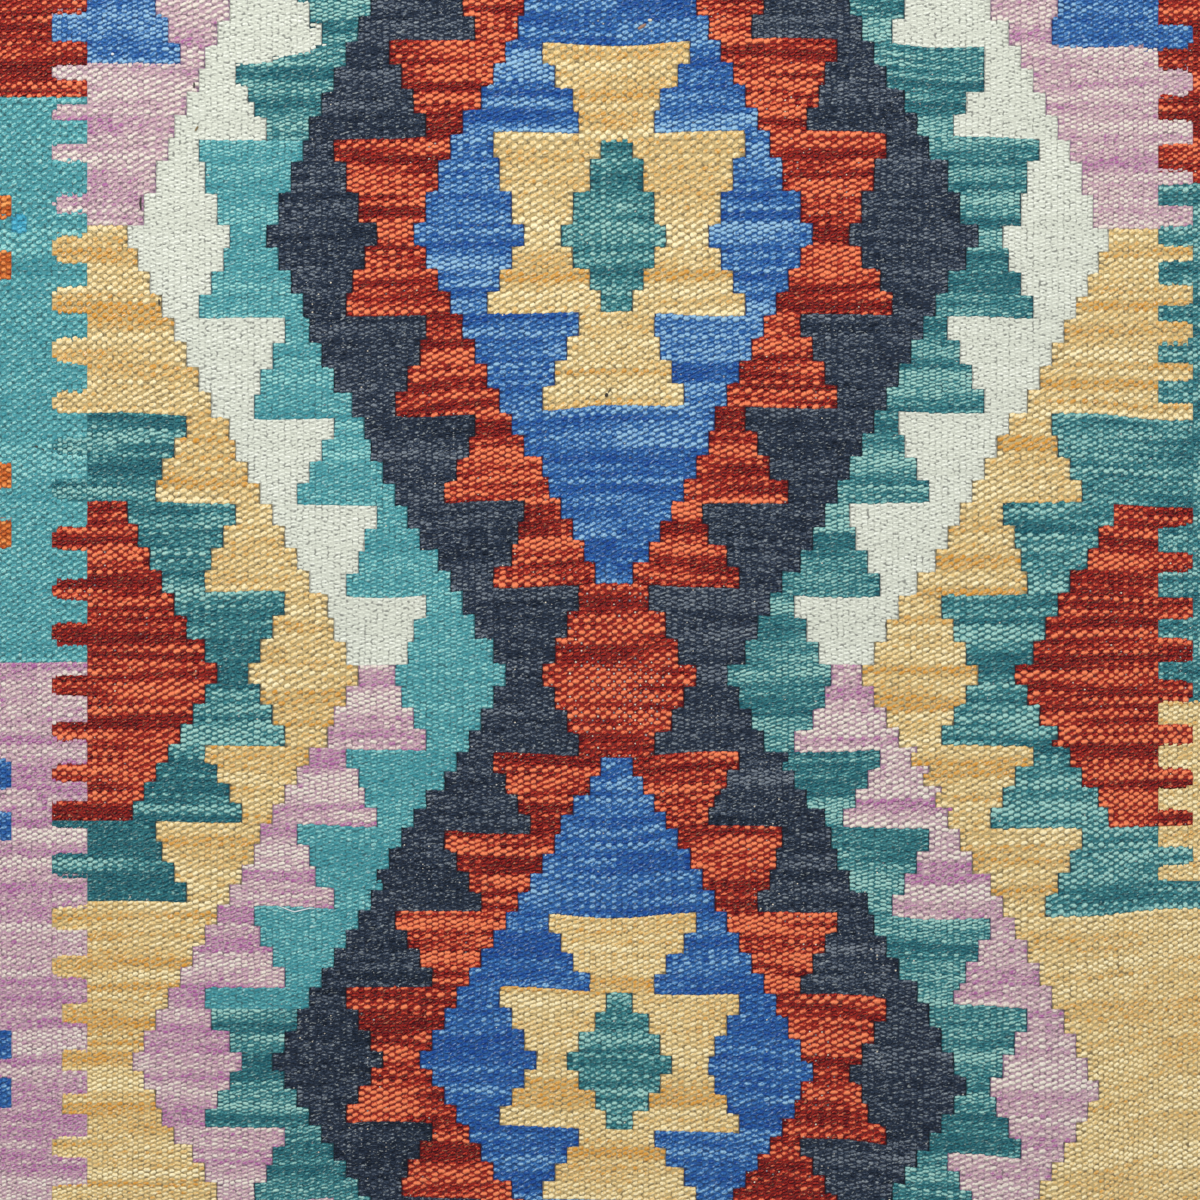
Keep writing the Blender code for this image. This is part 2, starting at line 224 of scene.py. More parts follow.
# The dye's plainer streaks on the left and the right of the axis, as (first, last, shift): the photo's
# pixel rows between which a streak runs, and how far it shifts the tone, down to dark or up to light.
dyeStreaks = {
    "pinkHead": ([(3, 20, .14), (30, 46, -.19), (47, 64, .22), (82, 97, .17), (119, 136, -.22),
        (150, 169, .17), (176, 209, -.14), (216, 222, -.25)],
        [(9, 30, .19), (31, 45, -.22), (47, 58, .17), (92, 100, .17), (101, 118, -.14), (120, 130, .17),
        (152, 171, -.17), (172, 179, .17), (196, 205, .14), (215, 222, .17)]),
    "pinkDiagonal": ([(669, 685, -.45), (690, 713, .35), (714, 725, -.4), (735, 740, -.35), (748, 772, -.5),
        (775, 802, .3), (803, 810, -.4), (822, 836, -.45), (850, 869, .25), (870, 883, -.45),
        (905, 925, -.5), (940, 951, -.4), (988, 1006, -.5), (1023, 1033, -.45), (1043, 1056, -.45),
        (1070, 1081, -.45), (1110, 1128, -.45), (1157, 1167, -.4), (1168, 1190, .2)],
        [(686, 699, -.4), (713, 737, .4), (738, 747, -.4), (748, 767, .4), (786, 800, .35), (800, 815, -.4),
        (816, 858, .3), (862, 884, -.4), (885, 896, .3), (979, 996, -.35), (1060, 1091, .25),
        (1092, 1119, -.25), (1120, 1131, .3), (1173, 1178, -.3), (1179, 1189, .3)]),
    "turquoise": ([(850, 1010, -.15), (208, 223, .25), (235, 247, -.25), (283, 291, .3), (346, 357, -.25),
        (358, 366, .3), (375, 386, .3), (412, 421, -.45), (421, 429, .4), (453, 460, .35), (542, 556, -.2),
        (755, 800, -.2), (845, 862, -.2), (903, 908, .4), (985, 1007, -.2)],
        []),
    "tealDiagonal": ([(22, 34, -.4), (64, 68, .35), (68, 80, -.3), (100, 115, -.35), (116, 125, .35),
        (1022, 1033, -.4), (1057, 1081, -.5), (1081, 1087, .35), (1100, 1109, .4), (1110, 1123, -.45),
        (1140, 1153, -.45), (1167, 1181, -.35)],
        [(9, 17, -.4), (22, 43, .4), (80, 88, -.45), (100, 113, -.4), (113, 146, .45), (159, 169, -.4),
        (183, 191, -.4), (191, 215, .3), (222, 231, -.4), (231, 248, .35), (249, 266, -.4), (276, 293, -.4),
        (345, 358, .35), (359, 371, -.4), (372, 393, .35), (400, 413, -.35), (447, 472, .4), (505, 529, .5),
        (534, 551, -.35), (595, 614, .5), (624, 641, -.35), (667, 682, .35), (683, 717, -.4),
        (718, 745, .45), (752, 800, -.3), (800, 823, .4), (829, 853, -.35), (872, 886, .35),
        (944, 955, -.45), (977, 1004, .4), (1054, 1075, .35), (1115, 1153, -.35)]),
    "redHooks": ([(980, 1200, -.12), (24, 35, -.3), (81, 91, -.45), (91, 106, .3), (116, 131, -.45),
        (190, 205, .4), (205, 217, -.45), (226, 243, .45), (253, 263, -.3), (303, 311, .35), (312, 325, -.3),
        (387, 394, -.45), (411, 431, -.35), (447, 464, .35), (521, 535, -.3), (536, 551, .35),
        (577, 582, .3), (601, 608, -.3), (622, 633, .4), (645, 651, -.4), (706, 713, -.3), (720, 728, -.35),
        (806, 819, -.45), (829, 835, -.45), (836, 857, .35), (863, 872, -.35), (873, 881, .35),
        (920, 927, .35), (944, 952, -.45), (952, 958, .35), (972, 979, -.45), (1019, 1031, -.45),
        (1031, 1041, .3), (1041, 1051, -.45), (1075, 1086, -.45), (1107, 1119, .25), (1132, 1143, .3),
        (1144, 1161, -.35), (1172, 1187, .25)],
        [(28, 32, -.35), (73, 81, -.35), (101, 116, .4), (116, 128, -.4), (128, 139, .45), (168, 179, -.35),
        (188, 199, .3), (200, 209, -.45), (228, 246, -.45), (249, 260, .4), (284, 294, -.4), (303, 309, -.4),
        (371, 378, -.45), (413, 431, -.45), (442, 456, .25), (467, 474, -.45), (499, 509, .45),
        (519, 534, -.45), (534, 556, .3), (565, 581, -.35), (587, 597, .4), (607, 637, .3), (638, 646, -.4),
        (676, 691, .35), (692, 709, -.4), (710, 723, .35), (747, 755, -.35), (780, 785, -.45),
        (786, 793, .45), (809, 821, .35), (865, 877, .45), (878, 895, -.4), (926, 939, .4), (940, 949, -.4),
        (949, 961, .45), (982, 991, .35), (997, 1011, -.35), (1035, 1046, .4), (1057, 1070, -.35),
        (1110, 1121, -.4), (1134, 1147, -.45), (1176, 1198, -.35)]),
    "redNode": ([(586, 598, .15), (599, 611, -.25), (621, 633, .35), (634, 637, -.5), (645, 659, -.3),
        (660, 670, .3), (671, 674, -.45), (675, 683, .3), (684, 694, -.3), (704, 710, -.55), (711, 729, .35),
        (743, 756, -.3)],) * 2,
    "redHalf": ([(500, 800, -.08), (515, 528, .35), (534, 544, -.45), (546, 558, .35), (574, 587, -.45),
        (599, 606, .3), (607, 616, -.45), (638, 646, -.45), (682, 699, .3), (700, 707, -.35),
        (708, 716, .35), (717, 736, -.3), (738, 746, .3), (766, 776, .3), (809, 817, -.45)],
        [(522, 533, -.45), (553, 566, .35), (567, 576, -.35), (604, 619, -.35), (629, 638, .45),
        (652, 667, -.45), (681, 691, -.35), (703, 711, -.45), (712, 721, .35), (735, 743, .35),
        (745, 766, -.4), (780, 793, -.35), (794, 806, .35)]),
    "blue": ([(100, 420, .12), (900, 1200, -.14), (0, 11, .35), (38, 49, -.4), (50, 79, .35), (88, 96, -.3),
        (109, 123, -.45), (195, 206, -.35), (241, 249, -.4), (264, 271, .4), (271, 277, -.4), (278, 286, .3),
        (286, 294, -.35), (314, 326, -.35), (387, 397, -.35), (449, 463, -.35), (482, 491, -.4),
        (523, 536, .35), (537, 562, -.35), (770, 784, -.4), (932, 961, -.45), (1033, 1067, -.45)],
        [(100, 420, .1), (900, 1200, -.12), (1, 8, -.4), (24, 42, .35), (55, 67, -.4), (86, 96, -.35),
        (144, 156, .4), (177, 185, -.4), (192, 201, -.35), (209, 221, -.45), (221, 236, .35),
        (268, 273, .35), (273, 283, -.35), (362, 384, -.5), (389, 408, .3), (413, 420, -.4), (420, 446, .3),
        (448, 463, -.35), (483, 491, -.4), (548, 558, -.4), (563, 573, -.5), (758, 776, -.35),
        (853, 868, -.45), (906, 920, -.35), (1020, 1046, -.3), (1099, 1107, .3), (1107, 1128, -.4)]),
    "starYellow": ([(93, 104, -.3), (222, 246, .25), (272, 281, -.5), (317, 325, .25), (340, 347, .3),
        (369, 377, -.35), (377, 396, .25), (979, 991, -.35), (1078, 1109, -.35), (1149, 1161, -.5)],
        [(93, 104, -.25), (222, 246, .25), (272, 281, -.45), (340, 347, .25), (369, 377, -.35),
        (377, 396, .25), (979, 991, -.35), (1078, 1109, -.35), (1149, 1161, -.5)]),
    "starTeal": ([(166, 195, -.18), (207, 216, .21), (226, 246, .21), (268, 287, -.24), (288, 294, .21),
        (1023, 1031, -.24), (1031, 1043, .21), (1044, 1054, -.24), (1060, 1081, -.24),
        (1092, 1109, .21)],) * 2,
    "yellow": ([(249, 264, -.3), (303, 331, -.55), (364, 379, -.35), (475, 487, -.3), (592, 606, -.25),
        (690, 704, -.35), (724, 730, -.55), (746, 766, -.4), (813, 823, -.35), (838, 846, -.35),
        (911, 921, -.5), (957, 971, -.5), (985, 993, -.4), (1016, 1028, -.65), (1039, 1046, -.5),
        (1050, 1066, -.4), (1101, 1114, -.55), (1146, 1178, .15), (1179, 1186, -.5)],
        [(298, 309, -.4), (321, 333, -.3), (362, 371, -.35), (381, 393, -.35), (437, 452, -.45),
        (453, 481, .2), (557, 563, -.5), (588, 596, -.35), (624, 666, .2), (667, 675, -.45), (696, 710, -.5),
        (711, 745, .2), (761, 778, -.55), (857, 870, -.45), (889, 897, -.3), (1000, 1018, -.3),
        (1060, 1100, .15), (1130, 1170, .15)]),
    "tealOuter": ([(414, 426, -.3), (463, 477, -.35), (529, 549, -.4), (565, 569, .4), (586, 593, .5),
        (640, 651, -.4), (659, 691, -.4), (693, 712, .3), (723, 746, .45), (761, 800, -.5), (815, 859, -.5),
        (859, 872, .35), (872, 903, -.5)],
        [(436, 440, .35), (523, 532, -.35), (534, 550, .35), (575, 591, .35), (625, 641, .3),
        (655, 683, -.35), (684, 691, .4), (712, 721, .35), (750, 767, -.35), (781, 820, .3),
        (841, 856, .3)]),
    "charcoal": ([(850, 1200, -.1), (68, 80, .3), (100, 112, .25), (452, 460, .25), (628, 637, .3),
        (705, 718, .25)],
        [(150, 162, .2), (333, 342, .25), (628, 643, .3), (664, 683, .4), (770, 786, .35), (945, 955, .3),
        (1050, 1062, .3), (1155, 1162, .3)]),
    "stripTurquoise": ([(185, 196, -.15), (230, 258, .25), (259, 276, -.3), (440, 476, .25), (565, 576, .2)],
        []),
    "stripPink": ([(664, 669, -.45), (738, 747, -.4), (762, 791, -.3), (807, 826, -.4), (827, 846, .3),
        (847, 858, -.45), (859, 869, .35), (886, 895, -.4), (909, 918, -.45), (977, 1007, -.4),
        (1018, 1028, -.5), (1029, 1054, .2), (1055, 1064, -.5), (1085, 1141, -.4), (1152, 1177, -.3)],
        []),
}


# A repeatable random number from 0 to 1 for each pair of whole numbers: their bits multiplied and folded.
def scatter(i, j, seed):
    n = np.asarray(i, np.int64) * 374761393 + np.asarray(j, np.int64) * 668265263 + int(seed) * 974634777
    n = (n ^ (n >> 13)) * 1274126177 & 0xFFFFFFFF
    n = (n ^ (n >> 16)) * 2246822519 & 0xFFFFFFFF
    return ((n ^ (n >> 15)) & 0xFFFFFF) / 0xFFFFFF


# Value noise from -1 to 1: the four scattered corners round a point, blended by 3t^2 - 2t^3.
def wander(x, y, seed):
    i, j = np.floor(x), np.floor(y)
    u, v = x - i, y - j
    u, v = u * u * (3 - 2 * u), v * v * (3 - 2 * v)
    near = scatter(i, j, seed) * (1 - u) + scatter(i + 1, j, seed) * u
    far = scatter(i, j + 1, seed) * (1 - u) + scatter(i + 1, j + 1, seed) * u
    return 2 * (near * (1 - v) + far * v) - 1


# How far down pattern row r runs at x: each row line read by straight steps, blended sideways by 3t^2 -
# 2t^3, and the pick lines' drift, two sizes of wander.
def downAt(x, row):
    places = sorted(rowLines)
    lines = [np.interp(row, rowsNoted, rowLines[place]) for place in places]
    down = lines[0]
    for i in range(len(places) - 1):
        t = np.clip((x - places[i]) / (places[i + 1] - places[i]), 0, 1)
        down = down + (lines[i + 1] - lines[i]) * t * t * (3 - 2 * t)
    drift = wander(x / 46, row / 3.1, 11) * 0.7 + wander(x / 17, row / 1.3, 12) * 0.3
    return down + cloth["waver"] * drift


# The warps' x, by adding up 1 / pitch from the left edge and reading off the whole numbers.
def warpPlaces():
    x = np.linspace(-cloth["width"] / 2, cloth["width"] / 2, 4001)
    count = np.concatenate([[0], np.cumsum(np.diff(x) / np.interp(x[1:], *zip(*warpPitch)))])
    return np.interp(np.arange(0.5, count[-1]), count, x)


# True where a value lies in any of the spans.
def within(value, spans):
    return np.any([(value >= low) & (value < high) for low, high in spans], axis=0)


# True inside an oval: (x / wide)^2 + (down / tall)^2 < 1 from its middle.
def inOval(x, down, oval):
    return ((x - oval["x"]) / oval["wide"]) ** 2 + ((down - oval["down"]) / oval["tall"]) ** 2 < 1


# How many rows a row is from the middle of its star; the stars repeat.
def rowsFromStar(row):
    return np.abs((np.floor(row).astype(int) + halfMotif) % (2 * halfMotif) - halfMotif)


# A band's half width in mm: its value in a star's middle row, what each row and each hook take off it, and
# what each row within a hook adds, each for the left and the right of the axis.
bands = {
    "white": ((278.7, 282.5), (6.9, 7.2), (0, 0), (0, 0)),
    "hooks": ((219.5, 219.5), (0, 0), (27.8, 29.4), (5.9, 5.9)),
    "charcoal": ((200.6, 204), (7.15, 7.38), (0, 0), (0, 0)),
    "redHooks": ((138, 138), (0, 0), (29.1, 29.1), (5.9, 5.9)),
    "blue": ((116.3, 114), (7.1, 7.1), (0, 0), (0, 0)),
    "tealOuter": ((301.8, 301.8), (0, 0), (27.9, 27.9), (6.1, 6.1)),
    "redHalf": ((365.8, 365.8), (7.2, 7.2), (0, 0), (0, 0)),
}

# The stars of the two motifs: their middles' x, half their width in the first row of the wings and of the
# body and what each further row adds, and half the width of the heart and what each row takes off it.
stars = dict(axis=(8.5, 11.4), wing=(51.3, 49), perWingRow=6.7, body=21.1, perBodyRow=7.1, heart=29.4,
             perHeartRow=6.95)

# x where the side strips begin, where the field's teeth in them end, and where the small marks at the left
# edge begin; and how far down the strips change their colour, with the right one's end.
borders = dict(left=-292.4, teeth=-312.4, shortTeeth=-305.5, marks=-336, right=319.2, teethRight=338.6,
               leftChanges=(-287, 35.5), rightChanges=(-237.5, 58), rightEnd=160)


# The pattern's area at a point. The bands are laid from the outermost in, each where the point's distance
# from the axis is under its half width; the hooks are four rows to a step. Later areas are laid over
# earlier ones.
def chartAt(x, row, down):
    area = np.zeros(np.shape(x), int)
    step, turn = np.floor(row).astype(int), rowsFromStar(row)
    tooth = turn % 4
    left = x < cloth["axis"]

    def lay(name, where):
        area[where] = zoneNumber[name]

    def stray(name):
        west, east = (np.interp(step, *zip(*strays[name][i])) for i in (0, 1))
        return np.where(left, west, east)

    def reach(name, turn=turn):
        half, perRow, perHook, perTooth = (np.where(left, *pair) for pair in bands[name])
        return half - perRow * turn - perHook * (turn // 4) + perTooth * (turn % 4) + stray(name)

    # in a tooth, and by more than blunt from its sides
    def inTooth(teeth, blunt):
        return within(down + blunt, teeth) & within(down - blunt, teeth)

    foot = np.clip((down - 57) / 205, 0, 1)
    off = np.abs(x - cloth["axis"]) / (1 - np.where(left, 0.012, 0.024) * foot)      # drawn in at the foot
    lay("pinkHead", step < 0)
    lay("yellow", step >= 0)
    lay("tealOuter", (turn >= 8) & (step >= 8) & (step <= 30) & (off > reach("tealOuter")))
    lay("redHalf", (turn >= 12) & (step >= 12) & (step <= 26) & (off > reach("redHalf")))
    # the head's corners, the left one in steps
    bars = (x < -247) & (down >= -334) & (x > -312) | (x < -254) & (x > -294) | (x < -240) & (down >= -318)
    lay("blueHead", bars & (down < -306) | (x > np.where(down < -333, 262, 256)) & (down < -315))

    lay("white", (off < reach("white")) & (step < halfMotif))
    lay("pinkDiagonal", (off < reach("white")) & (step >= halfMotif))
    # the head's left hooks climb outward
    lean = np.where(left & (step < -3), np.clip((-152 - x) / 57, 0, 1) * 0.85, 0)
    lean = lean * np.clip((-4 - row) / 2, 0, 1)
    leant = rowsFromStar(row - lean)
    hooks = reach("hooks", leant) + 3 * (~left & (step < 1))
    hooks = off < hooks + 12 * (left & (leant >= 4) & (leant < 8) & (step < -2))
    lay("tealDiagonal", hooks)
    lay("turquoise", hooks & left & (step >= -3) & (step < 36))
    lay("charcoal", off < reach("charcoal") - 4 * (~left & (step < 1)))
    reds = reach("redHooks") + 4.5 * (left & (step < 0)) - 1.5 * (3 - tooth) * (~left & (step > 3))
    lay("redHooks", off < reds)
    lay("redNode", (off < reds) & (turn >= 16))      # where two motifs meet
    lay("blue", (off < reach("blue") - 3 * (~left & (step < 0))) & (turn <= 15))
    starAxis, wing = (np.where(step < halfMotif, *stars[key]) for key in ("axis", "wing"))
    offStar = np.abs(x - starAxis)
    wing, body = wing + stars["perWingRow"] * tooth, stars["body"] + stars["perBodyRow"] * tooth
    lay("starYellow", (turn <= 7) & (offStar < np.where(turn <= 3, wing, body) - stray("star")))
    heart = stars["heart"] - stars["perHeartRow"] * turn
    lay("starTeal", (turn <= 3) & (offStar < heart) & (row > -2.75))

    blunt = np.clip((borders["teeth"] + 2.9 - x) / 2, 0, 1) * 2.2      # a tooth narrows in its last 3 mm
    toothed = (x >= borders["teeth"]) & inTooth(teethLeft, blunt)
    toothed |= (x >= borders["shortTeeth"]) & within(down, teethLeftShort)
    toothed |= (x >= borders["teeth"]) & (down > -335) & (down < -318)
    strip = (x < borders["left"]) & (~toothed | within(down, teethLeftRed))
    first, second = borders["leftChanges"]
    lay("stripRed", strip & (down < first))
    lay("stripTurquoise", strip & (down >= first) & (down < second))
    lay("stripPink", strip & (down >= second))
    lay("stripOrange", (x < borders["marks"]) & within(down, edgeOrange))
    lay("stripBlue", (x < borders["marks"]) & within(down, edgeBlue))
    lay("stripCyan", inOval(x, down, patch))
    blunt = np.clip((x - borders["teethRight"] + 3.1) / 2, 0, 1) * 1.6
    toothed = (x < borders["teethRight"]) & inTooth(teethRight, blunt)
    strip = (x >= borders["right"]) & ~toothed & (down < borders["rightEnd"])
    first, second = borders["rightChanges"]
    lay("stripRed", strip & (down < first))
    lay("stripTeal", strip & (down >= first) & (down < second))
    lay("stripYellow", strip & (down >= second))
    return area


# The floats of one area: warp number plus pick number is even on the face, odd on the back. Each pattern
# row holds its height / pick picks, rounded and evenly spaced. Returns one array per quantity, one value
# per float: alone is true where the area ends at the next warp (left, right), edge and open where it ends
# one or two picks away (above, below).
def floatsOf(name, warps, odd=0, coarser=1.0):
    zone = zones[name]
    rows = np.arange(*patternRows)
    heights = np.diff(np.interp(np.append(rows, patternRows[1]), rowsNoted, rowLines[-275]))
    middles = np.interp(rows + 0.5, rowsNoted, rowLines[-275])
    headLeft, footLeft, headRight, footRight = zone["pick"]
    found = []
    for side, head, foot in ((-1, headLeft, footLeft), (1, headRight, footRight)):
        pitch = np.interp(middles, [-photoHalf, photoHalf], [head, foot]) * coarser
        picks = np.maximum(np.round(heights / pitch), 1).astype(int)
        first = np.cumsum(picks) - picks
        number = np.arange(picks.sum())
        home = np.repeat(rows, picks)
        row = home + (number - np.repeat(first, picks) + 0.5) / np.repeat(picks, picks)
        gap, each = np.repeat(heights / picks, picks), 1 / np.repeat(picks, picks)
        c, p = np.meshgrid(np.arange(len(warps)), number)
        keep = ((c + p) % 2 == odd) & ((warps[c] < cloth["axis"]) == (side < 0))
        c, p = c[keep], p[keep]
        found.append((c, p, row[p], gap[p], each[p]))
    c, p, row, gap, each = (np.concatenate(parts) for parts in zip(*found))
    x = warps[c]
    down = downAt(x, row)
    inside = chartAt(x, row, down) == zoneNumber[name]
    c, p, row, gap, each, x, down = (values[inside] for values in (c, p, row, gap, each, x, down))
    apart = np.gradient(warps)[c]
    slope = (downAt(x + apart, row) - downAt(x - apart, row)) / (2 * apart)
    ways = np.array([[-1], [1]])
    beside = warps[np.clip(c + ways, 0, len(warps) - 1)]
    alone = chartAt(beside, np.stack([row, row]), downAt(beside, row)) != zoneNumber[name]
    near, far = (chartAt(np.stack([x, x]), row + n * ways * each, down + n * ways * gap) == zoneNumber[name]
                 for n in (1, 2))
    return dict(c=c, p=p, row=row, gap=gap, x=x, down=down, apart=apart, slope=slope, alone=alone,
                edge=~near, open=near & ~far)


# The areas that cross the axis, whose picks run through it.
acrossAxis = ("redNode", "blue", "starYellow", "starTeal")


# A float's place between dark and light: tone + band noise over several picks + streak noise along a pick
# or two + the streaks it lies in, each soft at its edges + grain from float to float.
def shadeOf(name, f):
    zone, number = zones[name], zoneNumber[name]
    isLeft = f["x"] < cloth["axis"]
    side = 50 * (~isLeft & (name not in acrossAxis))
    band = wander(f["x"] / 90 + side, f["row"] * 1.3, 31 + number)
    fine = wander(f["x"] / 70 + side, f["row"] * 3.3, 61 + number)
    streak = wander(f["x"] / 42 + side, f["p"] / 1.6, 91 + number)
    single = wander(f["x"] / 60 + side, f["p"], 151 + number)
    grain = scatter(f["c"], f["p"], 121 + number) * 2 - 1
    shade = zone["tone"] + zone["band"] * np.tanh(1.6 * band + 2.0 * fine)
    shade = shade + zone["streak"] * (np.tanh(2.4 * streak) + 0.9 * single)
    shade = shade - spot["darker"] * inOval(f["x"], f["down"], spot)
    photoY = photoMiddle + f["down"] / photoRow + 2.5 * wander(f["x"] / 60 + side, f["row"], 17)
    for where, streaks in zip((isLeft, ~isLeft), dyeStreaks.get(name, ([], []))):
        for first, last, shift in streaks:
            starts, ends = (np.clip(past / 3 + 0.5, 0, 1) for past in (photoY - first, last - photoY))
            shade = shade + where * shift * starts * ends
    return np.clip(shade + zone["grain"] * grain, 0.02, 0.98)


# Corner = centre + along * (cos, sin of its turn) + across * (-sin, cos), at the height given for it.
def placed(f, along, across, height):
    cos, sin = np.cos(f["turn"])[:, None], np.sin(f["turn"])[:, None]
    x = f["x"][:, None] + along * cos - across * sin
    return np.stack([x, -f["down"][:, None] + along * sin + across * cos, height], 2)


# A face float is a closed lens: a six-sided outline sunk in the ground, with a two-point ridge over it.
faceShape = [(6, 7, 2, 1), (5, 4, 7, 6), (0, 6, 1), (0, 5, 6), (3, 2, 7), (3, 7, 4), (0, 1, 2, 3, 4, 5)]
faceRise = (0, 0, 0, 0, 0, 0, 1, 1)


def facePoints(f):
    west, east, half, still = f["west"], f["east"], f["half"], 0 * f["half"]
    along = np.stack([-west, -f["squareWest"] * west, f["squareEast"] * east, east, f["squareEast"] * east,
                      -f["squareWest"] * west, -0.45 * west, 0.45 * east], 1)
    across = np.stack([still, half, half, still, -half, -half, still, still], 1)
    height = np.stack([f["foot"]] * 6 + [f["top"]] * 2, 1)
    height[:, [0, 3]] -= 0.08      # its tips dip
    return placed(f, along, across, height)


# A float of the back is a four-sided pyramid with its point down at the floor, and a warp that shows
# between floats a low one with its point up: four corners at the rim's height, one at the tip's.
backShape = [(4, 0, 1), (4, 1, 2), (4, 2, 3), (4, 3, 0), (3, 2, 1, 0)]
warpShape = [(4, 1, 0), (4, 2, 1), (4, 3, 2), (4, 0, 3), (0, 1, 2, 3)]
tentRise = (0, 0, 0, 0, 1)


def tentPoints(f, rim, tip):
    still = 0 * f["half"]
    along = np.stack([-f["west"], still, f["east"], still, still], 1)
    across = np.stack([still, f["half"], still, -f["half"], still], 1)
    height = np.tile(np.array([rim] * 4 + [tip]), (len(still), 1))
    return placed(f, along, across, height)


# The bake's flat map: x and y of the cloth in one square.
def flatMap(mesh, flat):
    uv = mesh.uv_layers.new(name="OFBake")
    uv.data.foreach_set("uv", (0.5 + flat / (cloth["length"] + 8)).astype(np.float32).ravel())


# One mesh of many small bodies, from groups of (points, shape, rise, shade). The last face of each shape
# is the hidden one, and on the back all are, so they take no room in the map.
def joinBodies(name, groups):
    points, loops, sizes, shades, rises, flats, offset = [], [], [], [], [], [], 0
    for places, shape, rise, shade in groups:
        n, k = places.shape[:2]
        corners = np.concatenate(shape)
        loops.append((offset + np.arange(n)[:, None] * k + corners).ravel())
        sizes.append(np.tile([len(face) for face in shape], n))
        points.append(places.reshape(-1, 3))
        shades.append(np.repeat(shade, k))
        rises.append(np.tile(rise, n))
        flat = places[:, corners, :2]
        hidden = slice(None) if shape is backShape else slice(-len(shape[-1]), None)
        flat[:, hidden] = flat[:, hidden].mean(1, keepdims=True)
        flats.append(flat.reshape(-1, 2))
        offset += n * k
    points, loops, sizes = np.concatenate(points), np.concatenate(loops), np.concatenate(sizes)
    mesh = bpy.data.meshes.new(name)
    mesh.vertices.add(len(points))
    mesh.vertices.foreach_set("co", (points * mm).astype(np.float32).ravel())
    mesh.loops.add(len(loops))
    mesh.loops.foreach_set("vertex_index", loops.astype(np.int32))
    mesh.polygons.add(len(sizes))
    mesh.polygons.foreach_set("loop_start", (np.cumsum(sizes) - sizes).astype(np.int32))
    mesh.polygons.foreach_set("use_smooth", sizes < 6)      # all but the lenses' undersides
    mesh.update(calc_edges=True)
    for attribute, values in (("shade", np.concatenate(shades)), ("rise", np.concatenate(rises))):
        mesh.attributes.new(attribute, "FLOAT", "POINT").data.foreach_set("value", values.astype(np.float32))
    flatMap(mesh, np.concatenate(flats))
    return mesh


# One node socket. Arithmetic on it adds Math nodes, and add() any other node.
class Wire:
    def __init__(self, tree, socket):
        self.tree, self.socket = tree, socket

    # wires are linked to a node's sockets, and plain values set on them
    def fill(self, node, inputs):
        for key, value in inputs.items():
            if isinstance(value, Wire):
                self.tree.links.new(value.socket, node.inputs[key])
            else:
                node.inputs[key].default_value = value

    def add(self, kind, settings=None, inputs=None, out=0):
        node = self.tree.nodes.new(kind)
        for key, value in (settings or {}).items():
            setattr(node, key, value)
        self.fill(node, inputs or {})
        return Wire(self.tree, node.outputs[out])

    def math(self, operation, *values):
        return self.add("ShaderNodeMath", {"operation": operation}, dict(enumerate(values)))

    def __add__(self, other):
        return self.math("ADD", self, other)

    def __sub__(self, other):
        return self.math("SUBTRACT", self, other)

    def __rsub__(self, other):
        return self.math("SUBTRACT", other, self)

    def __mul__(self, other):
        return self.math("MULTIPLY", self, other)

    __radd__ = __add__
    __rmul__ = __mul__

    # 0 at low, 1 at high, held beyond them
    def span(self, low, high):
        return self.add("ShaderNodeMapRange", {"clamp": True}, {0: self, 1: low, 2: high})

    # a where this is 0, b where it is 1
    def mix(self, a, b):
        return self.add("ShaderNodeMix", {"data_type": "RGBA", "blend_type": "MIX"}, {0: self, 6: a, 7: b}, 2)

    # fractal noise at this vector, 0 to 1
    def noise(self, scale, detail=2.0):
        return self.add("ShaderNodeTexNoise", None, {"Vector": self, "Scale": scale, "Detail": detail})

    # small bumps from this height
    def bump(self, distance):
        return self.add("ShaderNodeBump", None, {"Strength": 0.5, "Distance": distance, "Height": self})


# A hex colour as the linear one that a socket takes: ((s + 0.055) / 1.055) ^ 2.4.
def colour(code):
    values = [int(code[i:i + 2], 16) / 255 for i in (1, 3, 5)]
    return (*(v / 12.92 if v < 0.04 else ((v + 0.055) / 1.055) ** 2.4 for v in values), 1.0)


def newMaterial(name):
    material = bpy.data.materials.new(name)
    material.use_nodes = True
    tree = material.node_tree
    return material, tree.nodes["Principled BSDF"], Wire(tree, None)


# How fine the wool is: the noise scales of its fibres, strands, odd fibres, specks of painted shade and broad
# clouds, and how much longer than thick a fibre is.
fineness = dict(fibre=1900, strand=950, odd=1150, shadeSpeck=800, cloud=38, length=2.4)
